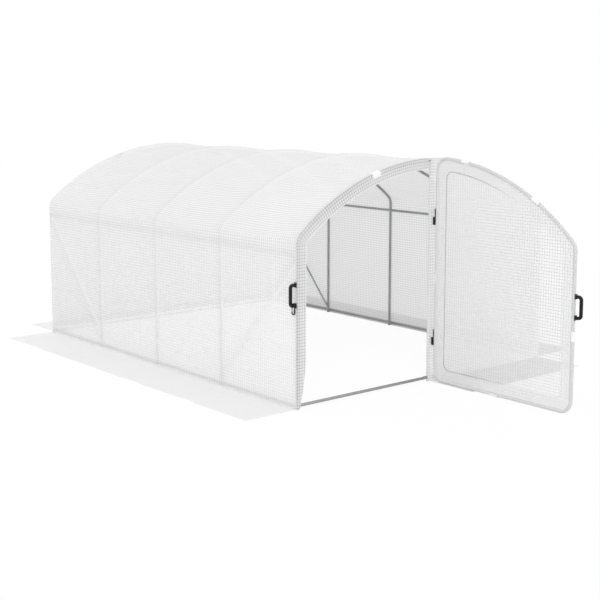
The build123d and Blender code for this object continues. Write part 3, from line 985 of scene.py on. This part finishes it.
# Frame tubes; each hoop is joined above its eave bends and at the ridge, the post a metre up
hoopStep = 0.05
jointRise = 0.16
postJoint = 1.0
hoopOutline = [(x, z) for x, z, *_ in archLine(hoopStep, 0.0)]
hoopLength = distances([Vector((x, 0, z)) for x, z in hoopOutline])[-1]
lowJoint = bendZ + 0.5 * tunnel["bendRadius"] + jointRise
hoopJoints = [lowJoint, hoopLength / 2, hoopLength - lowJoint]
hoopNames = ["hoop_front"] + ["hoop_inner_" + str(n) for n in range(1, tunnel["bays"])] + ["hoop_rear"]
for name, y in zip(hoopNames, hoopPlaces):
    path = [(x, y, z) for x, z in hoopOutline]
    piece = tube(name.replace("hoop", "hoop_tube"), path, tubeRadius, (0, 1, 0), joints=hoopJoints)
    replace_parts(piece, name)

for side, sign in (("left", -1), ("right", 1)):
    for label, node, radius, height in (
        ("base_tube_", "base_rail_", tubeRadius, railHeight),
        ("purlin_tube_", "purlin_", purlinRadius, purlinHeight),
    ):
        lengths = []
        for y in hoopPlaces[:-1]:
            x = sign * tunnel["halfWidth"]
            ends = [(x, y + seat, height), (x, y + bayLength - seat, height)]
            lengths.append(tube(label + side + str(len(lengths)), ends, radius, (0, 0, 1)))
        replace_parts(merge(label + side, lengths), node + side)

reach = tunnel["halfWidth"] - seat
for label, node, low, high, y in (
    ("base_tube_doorway", "base_rail_doorway", -reach, -seat, 0.0),
    ("base_tube_front", "base_rail_front", seat, reach, 0.0),
    ("base_tube_rear", "base_rail_rear", -reach, reach, tunnel["length"]),
):
    joints = [reach] if label == "base_tube_rear" else []
    ends = [(low, y, railHeight), (high, y, railHeight)]
    piece = tube(label, ends, tubeRadius, (0, 0, 1), joints=joints)
    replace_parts(piece, node)
postEnds = [(0, 0, 0), (0, 0, tunnel["ridge"] - seat)]
post = tube("post_tube", postEnds, tubeRadius, (0, 1, 0), joints=[postJoint])
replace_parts(post, "centre_post")
leafTube = tube("door_tube", loopPath, tubeRadius, (-1, 0, 0), "door_leaf", closed=True)
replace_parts(leafTube, "door_frame")

# Braces: round in the middle, pressed flat against the leg at both ends
brace = {
    "radius": 0.0095,
    "tab": 0.002,
    "tabStart": -0.010,
    "tabRounding": ((0.0, 0.55), (0.004, 0.85), (0.010, 1.0)),  # distance from the end, share of the width
    "tabEnd": 0.024,
    "pressEnd": 0.058,
    "footHeight": 0.080,
    "topDrop": 0.045,
    "endInset": 0.008,
    "rings": 7,
    "bolt": 0.0062,
}


def bracePiece(name, foot, top, outward):
    foot, top = Vector(foot), Vector(top)
    along = (top - foot).normalized()
    length = (top - foot).length
    flatWidth = math.pi * brace["radius"] / 2
    shapes = [(brace["tabStart"] + inset, 0.0, narrow) for inset, narrow in brace["tabRounding"]]
    shapes.append((brace["tabEnd"], 0.0, 1.0))
    for i in range(1, brace["rings"] + 1):
        share = i / brace["rings"]
        place = brace["tabEnd"] + (brace["pressEnd"] - brace["tabEnd"]) * share
        shapes.append((place, share * share * (3 - 2 * share), 1.0))
    shapes += [(length - place, roundness, narrow) for place, roundness, narrow in reversed(shapes)]
    path = [foot + along * place for place, _, _ in shapes]

    def ring(i):
        _, roundness, narrow = shapes[i]
        thick = brace["tab"] + (brace["radius"] - brace["tab"]) * roundness
        wide = (flatWidth + (brace["radius"] - flatWidth) * roundness) * narrow
        shift = (brace["radius"] - brace["tab"]) * (1 - roundness)
        power = 0.45 + 0.55 * roundness
        return [(shift + thick * math.copysign(abs(c) ** power, c), wide * math.copysign(abs(s) ** power, s))
                for c, s in circle(1.0)]

    return sweep(name, path, ring, (outward, 0, 0), frameSteel)


boltPlaces = []  # (place, direction, size)
braceInside = tunnel["halfWidth"] - seat - brace["radius"]
for side, sign in (("left", -1), ("right", 1)):
    for name, footY, topY in (
        ("brace_front_", bayLength, brace["endInset"]),
        ("brace_rear_", tunnel["length"] - bayLength, tunnel["length"] - brace["endInset"]),
    ):
        foot = (sign * braceInside, footY, brace["footHeight"])
        top = (sign * braceInside, topY, purlinHeight - brace["topDrop"])
        piece = bracePiece(name.replace("brace", "brace_tube") + side, foot, top, sign)
        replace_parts(piece, name + side)
        tabFace = sign * (tunnel["halfWidth"] - seat - 2 * brace["tab"])
        for place in (foot, top):
            boltPlaces.append(((tabFace, place[1], place[2]), (-sign, 0, 0), brace["bolt"]))
print("tubes done")

# Pressed straps that tie rails and purlins to the uprights, on the inner side
strap = {"reach": 0.046, "thick": 0.0012, "height": 0.022, "boltOut": 0.032, "bolt": 0.005, "gap": 0.0001,
         "soft": 0.0003, "openTurn": math.radians(12), "turns": 8}
strapPieces = []


# ears tells on which ends the strap reaches along the rail
def addStrap(centre, along, inward, railRadius, ears=(1, 1)):
    centre, along, inward = Vector(centre), Vector(along), Vector(inward)
    out = railRadius + strap["thick"] / 2 + strap["gap"]
    around = tubeRadius + strap["thick"] / 2 + strap["gap"]
    meeting = math.asin(min(1.0, out / around))
    start = meeting if ears[0] else strap["openTurn"]
    finish = math.pi - (meeting if ears[1] else strap["openTurn"])
    path = []
    for i in range(strap["turns"] + 1):
        angle = math.pi - (start + (finish - start) * i / strap["turns"])
        path.append(centre + along * around * math.cos(angle) + inward * around * math.sin(angle))
    half, thick, soft = strap["height"] / 2, strap["thick"] / 2, strap["soft"]
    for ear, sign in zip(ears, (-1, 1)):
        if ear:
            path.append(centre + along * sign * strap["reach"] + inward * out)
            place = centre + along * sign * strap["boltOut"] + inward * (out + thick)
            boltPlaces.append((tuple(place), tuple(inward), strap["bolt"]))
    path = sorted(path, key=lambda p: (p - centre).dot(along))
    section = [(-half, -thick + soft), (-half + soft, -thick), (half - soft, -thick), (half, -thick + soft),
               (half, thick - soft), (half - soft, thick), (-half + soft, thick), (-half, thick - soft)]
    name = "strap" + str(len(strapPieces))
    strapPieces.append(sweep(name, path, section, along.cross(inward), fittingSteel))


for sign in (-1, 1):
    for y in hoopPlaces:
        ears = (y > 0.01, y < tunnel["length"] - 0.01)
        for radius, height in ((purlinRadius, purlinHeight), (tubeRadius, railHeight)):
            addStrap((sign * tunnel["halfWidth"], y, height), (0, 1, 0), (-sign, 0, 0), radius, ears)
addStrap((0, 0, railHeight), (1, 0, 0), (0, 1, 0), tubeRadius)
sharpen(merge("frame_straps", strapPieces))

# Bolts: washer, six-sided head and a slightly domed top
bolt = {
    "sides": 18,
    "rings": (  # radius and height in shares of the bolt's size, whether six-sided
        (1.25, 0.0, False),
        (1.25, 0.22, False),
        (0.96, 0.24, True),
        (1.0, 0.34, True),
        (1.0, 0.85, True),
        (0.9, 0.98, True),
        (0.4, 1.04, True),
    ),
    "joint": 0.0045,
    "jointShift": 0.03,
    "uvStep": 0.002,
}


# Reach of a six-sided outline at an angle, where its flats are 1 away
def sixSided(angle):
    return 1 / math.cos(angle % (math.pi / 3) - math.pi / 6)


def makeBolts(name, places):
    points = []
    faces = []
    uvs = []
    sides = bolt["sides"]
    for place, direction, size in places:
        turn = Vector(direction).normalized().to_track_quat("Z", "Y")
        base = len(points)
        for radius, height, isSixSided in bolt["rings"]:
            for j in range(sides):
                angle = 2 * math.pi * j / sides
                flat = math.cos(math.pi / 6) * sixSided(angle + math.pi / 6) if isSixSided else 1.0
                reach = size * radius * flat
                local = Vector((reach * math.cos(angle), reach * math.sin(angle), size * height))
                points.append(Vector(place) + turn @ local)
        for k in range(len(bolt["rings"]) - 1):
            for j in range(sides):
                a, b = base + sides * k + j, base + sides * k + (j + 1) % sides
                faces.append((a, b, b + sides, a + sides))
                uvs += [(u * bolt["uvStep"], v * bolt["uvStep"])
                        for u, v in ((j, k), (j + 1, k), (j + 1, k + 1), (j, k + 1))]
        faces.append(tuple(range(len(points) - sides, len(points))))
        uvs += [(bolt["uvStep"] / 2 * j, 0.0) for j in range(sides)]
    sharpen(makePiece(name, points, faces, uvs, fittingSteel), 28.0)


# Joint bolts of the hoops, on the inner side where the fabric doesn't lie
for y in hoopPlaces:
    path = [Vector((x, y, z)) for x, z in hoopOutline]
    places = distances(path)
    for joint in hoopJoints:
        for at in (joint - bolt["jointShift"], joint + bolt["jointShift"]):
            k = max(i for i, place in enumerate(places) if place <= at)
            here = path[k].lerp(path[k + 1], (at - places[k]) / (places[k + 1] - places[k]))
            along = (path[k + 1] - path[k]).normalized()
            inward = along.cross(Vector((0, -1, 0)))
            boltPlaces.append((tuple(here + inward * tubeRadius), tuple(inward), bolt["joint"]))
makeBolts("frame_bolts", boltPlaces)
print("straps and bolts done")


fitting = {
    "plate": 0.011,
    "plateSoft": 0.0006,
    "gripSoft": 0.0016,
    "swell": 0.0025,
    "swellOver": 0.012,
    "footOut": 0.008,
    "screwInset": 0.006,
    "gripScrew": 0.004,
    "plateScrew": 0.003,
    "plateFace": -0.0181,
    "postShares": (0.12, 0.38),
    "leafShares": (0.25, 0.75),
}


# Fittings taken from their solids, with softened edges
def softened(name, node, material, body, width):
    mesh = bmesh.new()
    mesh.from_mesh(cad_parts[node].data)
    bmesh.ops.remove_doubles(mesh, verts=mesh.verts, dist=1e-6)
    bmesh.ops.dissolve_limit(mesh, angle_limit=math.radians(1.0), verts=mesh.verts, edges=mesh.edges)
    limit = math.radians(30.0)
    edges = [e for e in mesh.edges if len(e.link_faces) == 2 and e.calc_face_angle(0) > limit]
    bmesh.ops.bevel(mesh, geom=edges, offset=width, offset_type="OFFSET", segments=2, profile=0.6,
                    affect="EDGES", clamp_overlap=True)
    bmesh.ops.recalc_face_normals(mesh, faces=mesh.faces)
    piece = takePiece(name, mesh, material, body)
    sharpen(piece, 42.0)
    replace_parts(piece, node)
    return piece


# Hinge plates are slim strips: their free edge is drawn in to the given place
def slimmed(piece, axis, place):
    for vert in piece.data.vertices:
        vert.co[axis] = max(vert.co[axis], place)


# Grips are full and rounded away from their feet
def swollen(piece, axis, foot):
    normals = [vert.normal.copy() for vert in piece.data.vertices]
    for vert, normal in zip(piece.data.vertices, normals):
        out = (foot - vert.co[axis]) / fitting["swellOver"]
        vert.co += normal * fitting["swell"] * min(1.0, max(0.0, out))


gripSides = (("frame", "tunnel", 0), ("door", "door_leaf", 1))
for side, body, axis in gripSides:
    node = "handle_" + side
    grip = softened("grip_" + side, node, handlePlastic, body, fitting["gripSoft"])
    swollen(grip, axis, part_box(node)[1][axis] - fitting["footOut"])
for level in ("lower", "upper"):
    for half, label, body, axis in (("post", "_on_post", "tunnel", 0), ("door", "_on_leaf", "door_leaf", 1)):
        node = "hinge_" + level + "_" + half + "_half"
        piece = softened("hinge_" + level + label, node, blackMetal, body, fitting["plateSoft"])
        slimmed(piece, axis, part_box(node)[1][axis] - fitting["plate"])

# Snap hook: a bent rod, a thin wire gate and a screwed nut
hookLow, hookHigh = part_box("snap_hook")
hook = {"length": hookHigh.z - hookLow.z, "width": 0.040, "rod": 0.0058, "gate": 0.003, "nut": 0.0065,
        "nutLength": 0.018, "nutEdge": 0.001, "nutEnd": 0.88, "inset": 0.004, "gateShort": 0.002,
        "gateBow": 0.0006}
hookX = (hookLow.x + hookHigh.x) / 2
bend = hook["width"] / 2 - hook["inset"]
topZ = hookHigh.z - hook["width"] / 2
botZ = topZ - (hook["length"] - hook["width"])


def hookPoint(a, z):
    return (hookX, a, z)


# Half a turn of the rod, about the upper or the lower end of its loop
def hookTurn(height, first):
    turns = np.linspace(first, first + math.pi, 19)
    return [hookPoint(bend * math.cos(t), height + bend * math.sin(t)) for t in turns]


rodPath = hookTurn(topZ, 0)
rodPath += [hookPoint(-bend, topZ + (botZ - topZ) * k / 5) for k in range(1, 5)]
rodPath += hookTurn(botZ, math.pi)
rod = sweep("hook_rod", rodPath, circle(hook["rod"], 16), (1, 0, 0), blackMetal)
gatePath = [hookPoint(bend, topZ + hook["gateShort"]), hookPoint(bend - hook["gateBow"], (topZ + botZ) / 2)]
gatePath.append(hookPoint(bend, botZ - hook["gateShort"]))
sweep("hook_gate", gatePath, circle(hook["gate"], 12), (1, 0, 0), blackMetal)
nutPath = divide([hookPoint(-bend, botZ), hookPoint(-bend, botZ + hook["nutLength"])],
                 [hook["nutEdge"], hook["nutLength"] - hook["nutEdge"]])


def nutRing(i):
    size = hook["nut"] * (hook["nutEnd"] if i in (0, len(nutPath) - 1) else 1.0)
    turns = [2 * math.pi * j / 24 for j in range(24)]
    return [(size * sixSided(t) * math.cos(t), size * sixSided(t) * math.sin(t)) for t in turns]


nut = sweep("hook_nut", nutPath, nutRing, (1, 0, 0), blackMetal)
sharpen(nut, 25.0)
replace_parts(rod, "snap_hook")


# Small round-headed screws with a cross recess: counts of faces, then shares of a screw's size
screw = {"sides": 16, "rings": 8, "dome": 0.45, "slot": 0.16, "slotFloor": 0.28}


def makeScrews(name, places, body):
    mesh = bmesh.new()
    for place, direction, size in places:
        turn = Vector(direction).to_track_quat("Z", "Y").to_matrix().to_4x4()
        where = Matrix.Translation(Vector(place)) @ turn
        made = bmesh.ops.create_uvsphere(mesh, u_segments=screw["sides"], v_segments=screw["rings"],
                                         radius=size)
        slot = size * screw["slot"]
        for vert in made["verts"]:
            vert.co.z = max(vert.co.z, 0.0) * screw["dome"]
            if abs(vert.co.x) < slot or abs(vert.co.y) < slot:
                vert.co.z = min(vert.co.z, size * screw["slotFloor"])
            vert.co = where @ vert.co
    bmesh.ops.remove_doubles(mesh, verts=mesh.verts, dist=1e-7)
    takePiece(name, mesh, fittingSteel, body)


for side, body, axis in gripSides:
    low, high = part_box("handle_" + side)
    screws = []
    for z in (low.z + fitting["screwInset"], high.z - fitting["screwInset"]):
        place = [leaf["x"], 0.0, z]
        place[axis] = high[axis] - fitting["footOut"]
        direction = (-1, 0, 0) if axis == 0 else (0, -1, 0)
        screws.append((place, direction, fitting["gripScrew"]))
    makeScrews("grip_screws_" + side, screws, body)
postScrews = []
leafScrews = []
for level in ("lower", "upper"):
    low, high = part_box("hinge_" + level + "_post_half")
    for share in fitting["postShares"]:
        place = (high.x - fitting["plate"] / 2, fitting["plateFace"], low.z + (high.z - low.z) * share)
        postScrews.append((place, (0, -1, 0), fitting["plateScrew"]))
    low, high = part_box("hinge_" + level + "_door_half")
    for share in fitting["leafShares"]:
        place = (high.x, high.y - fitting["plate"] / 2, low.z + (high.z - low.z) * share)
        leafScrews.append((place, (1, 0, 0), fitting["plateScrew"]))
makeScrews("hinge_screws_post", postScrews, "tunnel")
makeScrews("hinge_screws_leaf", leafScrews, "door_leaf")

# White tie tabs: on the leaf a band round the outer side of the sleeve
tab = {
    "length": 0.088,
    "thick": 0.0015,
    "half": math.radians(108),
    "steps": 14,
    "flap": 0.026,
    "foldSteps": 6,
    "across": 0.65,
    "acrossSteps": 8,
    "lift": 0.0014,
    "leafLift": 0.0006,
    "hingeSide": 0.910,  # the leaf's tabs: two heights, a place below and two places along the arc
    "freeSide": 0.630,
    "below": 0.685,
    "above": (0.330, 1.060),
}
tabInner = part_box("door_cover")[1].x - leaf["x"] + tab["leafLift"]


def tabSection(middle):
    turns = [middle - tab["half"] + 2 * tab["half"] * j / tab["steps"] for j in range(tab["steps"] + 1)]
    tabOuter = tabInner + tab["thick"]
    outer = [(tabOuter * math.cos(t), tabOuter * math.sin(t)) for t in turns]
    return outer + [(tabInner * math.cos(t), tabInner * math.sin(t)) for t in reversed(turns)]


def topPlace(s):
    radius = leafRadius - leaf["tubeInset"]
    return (s, leafCentre + math.sqrt(radius**2 - s**2))


tabLoop = leafLoop(leaf["tubeInset"], leaf["corner"] - leaf["tubeInset"], 200, 10, 200)
tabMiddles = [(leaf["tubeInset"], tab["hingeSide"]), (leaf["width"] - leaf["tubeInset"], tab["freeSide"]),
              (tab["below"], leaf["low"] + leaf["tubeInset"])] + [topPlace(s) for s in tab["above"]]
doorTabs = []
for middle in tabMiddles:
    path = [leafPoint(*place) for place in tabLoop if math.dist(place, middle) <= tab["length"] / 2]
    section = tabSection(math.pi / 2)
    doorTabs.append(sweep("tab" + str(len(doorTabs)), path, section, (-1, 0, 0), whiteTape, "door_leaf"))
doorTab = merge("door_ties", doorTabs)
sharpen(doorTab, 50.0)
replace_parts(doorTab, "tie_tabs_door")


# On the end hoops a strap over the roof's edge and down the end sheet
def hoopTab(name, x, y, facing):
    def fold(size):
        points = [(-tab["flap"], facing * size)]
        for k in range(tab["foldSteps"] + 1):
            angle = math.pi / 2 * k / tab["foldSteps"]
            points.append((size * math.sin(angle), facing * size * math.cos(angle)))
        points.append((size, -facing * tab["flap"]))
        return points

    inner = offset + tab["lift"]
    outer = inner + tab["thick"]
    steps = tab["acrossSteps"]
    around = fold(outer) + list(reversed(fold(inner)))
    middle = math.acos(x / roofRadius)
    half = tab["length"] / 2 / roofRadius
    points = []
    places = []
    for k in range(steps + 1):
        angle = middle - half + 2 * half * k / steps
        c, s = math.cos(angle), math.sin(angle)
        for grow, along in around:
            points.append(((roofRadius + grow) * c, y + along, roofCentre + (roofRadius + grow) * s))
        places.append(k * tab["length"] / steps)
    size = len(around)
    faces = []
    uvs = []
    for k in range(steps):
        for j in range(size):
            step = (j + 1) % size
            face = (k * size + j, k * size + step, (k + 1) * size + step, (k + 1) * size + j)
            faces.append(face if facing > 0 else tuple(reversed(face)))
            corners = [(places[k], j * 0.005), (places[k], (j + 1) * 0.005),
                       (places[k + 1], (j + 1) * 0.005), (places[k + 1], j * 0.005)]
            uvs += corners if facing > 0 else list(reversed(corners))
    for start, flip in ((0, facing > 0), (steps * size, facing < 0)):
        order = range(size - 1, -1, -1) if flip else range(size)
        faces.append(tuple(start + j for j in order))
        uvs += [around[j] for j in order]
    return makePiece(name, points, faces, uvs, whiteTape)


for label, y, facing in (("front", 0.0, -1), ("rear", tunnel["length"], 1)):
    pieces = [hoopTab("tie" + str(k), x, y, facing) for k, x in enumerate((-tab["across"], tab["across"]))]
    piece = merge("hoop_ties_" + label, pieces)
    sharpen(piece, 50.0)
    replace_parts(piece, "tie_tabs_" + label)
print("fittings and ties done")

# Setting
setting = {
    "floorSize": 60.0,
    "floorTone": (0.93, 0.93, 0.93, 1.0),
    "floorShadow": 0.08,
    "worldStrength": 0.88,
    "sunStrength": 0.85,
    "sunWay": (0.45, 0.60, -0.75),
    "sunAngle": math.radians(25),
}
bpy.ops.mesh.primitive_plane_add(size=setting["floorSize"], location=(0, 2, 0))
floor = bpy.context.object
floor.name = "floor"
floorMaterial = bpy.data.materials.new("floorWhite")
floorMaterial.use_nodes = True
tree = floorMaterial.node_tree
matt = tree.nodes["Principled BSDF"]
matt.inputs["Base Color"].default_value = setting["floorTone"]
matt.inputs["Roughness"].default_value = 0.9
matt.inputs["Specular IOR Level"].default_value = 0.1
white = addNode(tree, "Emission")
white.inputs["Color"].default_value = (1.0, 1.0, 1.0, 1.0)
rays = addNode(tree, "LightPath")
shown = calc(tree, "MULTIPLY", rays.outputs["Is Camera Ray"], 1 - setting["floorShadow"])
mixed = addNode(tree, "MixShader")
tree.links.new(shown, mixed.inputs[0])
tree.links.new(matt.outputs[0], mixed.inputs[1])
tree.links.new(white.outputs[0], mixed.inputs[2])
tree.links.new(mixed.outputs[0], tree.nodes["Material Output"].inputs["Surface"])
floor.data.materials.append(floorMaterial)

world = bpy.data.worlds.new("sky")
bpy.context.scene.world = world
world.use_nodes = True
tree = world.node_tree
sky = tree.nodes["Background"]
rays = addNode(tree, "LightPath")
seen = calc(tree, "ADD", rays.outputs["Is Camera Ray"], rays.outputs["Is Glossy Ray"], clamp=True)
strength = ramp(tree, seen, 0.0, 1.0, setting["worldStrength"], 1.0, smooth=False)
sky.inputs["Color"].default_value = (1.0, 1.0, 1.0, 1.0)
tree.links.new(strength, sky.inputs["Strength"])

sunData = bpy.data.lights.new("sun", "SUN")
sunData.energy = setting["sunStrength"]
sunData.angle = setting["sunAngle"]
sun = bpy.data.objects.new("sun", sunData)
sun.rotation_euler = Vector(setting["sunWay"]).to_track_quat("-Z", "Y").to_euler()
bpy.context.scene.collection.objects.link(sun)

# Camera, as found by matching the frame's corners to the photograph
camera = {
    "place": (-7.2993, -6.9509, 2.4964),
    "turn": math.radians(39.228),  # from the tunnel's length toward its right
    "down": math.radians(7.779),
    "roll": math.radians(-0.103),
    "lens": 70.29,
    "shiftX": 0.0275,
    "shiftY": -0.0783,
}
forward = Vector((math.sin(camera["turn"]) * math.cos(camera["down"]),
                  math.cos(camera["turn"]) * math.cos(camera["down"]), -math.sin(camera["down"])))
right = Vector((math.cos(camera["turn"]), -math.sin(camera["turn"]), 0.0))
upward = right.cross(forward)
rolledRight = right * math.cos(camera["roll"]) + upward * math.sin(camera["roll"])
rolledUp = upward * math.cos(camera["roll"]) - right * math.sin(camera["roll"])
lensData = bpy.data.cameras.new("camera")
lensData.lens = camera["lens"]
lensData.sensor_width = 36.0
lensData.shift_x = camera["shiftX"]
lensData.shift_y = camera["shiftY"]
lensData.clip_end = 200.0
eye = bpy.data.objects.new("camera", lensData)
turned = Matrix((rolledRight, rolledUp, -forward)).transposed().to_4x4()
eye.matrix_world = Matrix.Translation(camera["place"]) @ turned
bpy.context.scene.collection.objects.link(eye)
bpy.context.scene.camera = eye
bpy.context.scene.view_settings.view_transform = "Standard"

print("setting done")
